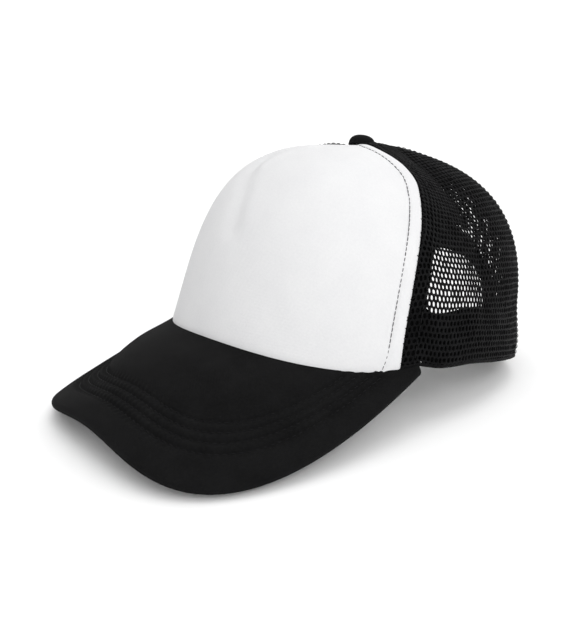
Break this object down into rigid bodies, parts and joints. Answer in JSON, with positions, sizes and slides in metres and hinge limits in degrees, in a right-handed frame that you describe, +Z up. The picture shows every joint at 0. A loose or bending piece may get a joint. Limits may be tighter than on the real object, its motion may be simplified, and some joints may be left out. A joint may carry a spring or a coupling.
{
  "type": "trucker cap",
  "caption": "Trucker cap with a white foam front panel, black mesh sides and back, curved black visor, covered button and snap strap across the rear arch.",
  "frame": {"origin": "centre of the bounding box at the surface the cap rests on; the cap leans back and rests on both front corners of the visor and the rear edge of the headband", "axes": "+Z up, the front of the cap and the visor point to -Y, the wearer's left is +X"},
  "size_m": [0.176, 0.2617, 0.1293],
  "materials": {
    "front_fabric": "matte",
    "foam": "matte",
    "mesh": "satin",
    "tape": "matte",
    "visor_fabric": "matte",
    "thread": "satin",
    "sweatband_cotton": "matte",
    "wadding": "matte",
    "visor_plastic": "satin",
    "strap_plastic": "satin",
    "button_fabric": "matte",
    "steel": "satin"
  },
  "bodies": {
    "cap": {"front_panel_face": "front_fabric", "front_panel_foam": "foam", "left_side_mesh": "mesh", "right_side_mesh": "mesh", "left_rear_mesh": "mesh", "right_rear_mesh": "mesh", "front_left_tape": "tape", "front_right_tape": "tape", "rear_left_tape": "tape", "rear_right_tape": "tape", "centre_back_tape": "tape", "arch_binding": "tape", "front_topstitch": "thread", "sweatband": "sweatband_cotton", "sweatband_foam": "foam", "sweatband_stitching": "thread", "visor_top_cover": "visor_fabric", "visor_foam": "wadding", "visor_board": "visor_plastic", "visor_under_cover": "visor_fabric", "visor_stitching": "thread", "button_cover": "button_fabric", "button_shell": "steel", "button_rivet": "steel", "button_washer": "steel", "hole_strap_tab": "strap_plastic", "peg_strap_tab": "strap_plastic", "strap_stitching": "thread"},
    "hole_strap": {"hole_strap_band": "strap_plastic"},
    "peg_strap": {"peg_strap_band": "strap_plastic"}
  },
  "joints": [
    {"name": "hole_strap_swing", "type": "hinge", "parent": "cap", "child": "hole_strap", "pos_m": [0.03534, 0.11421, 0.00633], "axis": [0, -0.219, -0.9757], "range_deg": [0, 95], "stiffness_Nm_per_rad": 0.01},
    {"name": "peg_strap_swing", "type": "hinge", "parent": "cap", "child": "peg_strap", "pos_m": [-0.0348, 0.11295, 0.00662], "axis": [0, -0.219, -0.9757], "range_deg": [0, 45], "stiffness_Nm_per_rad": 0.01}
  ]
}
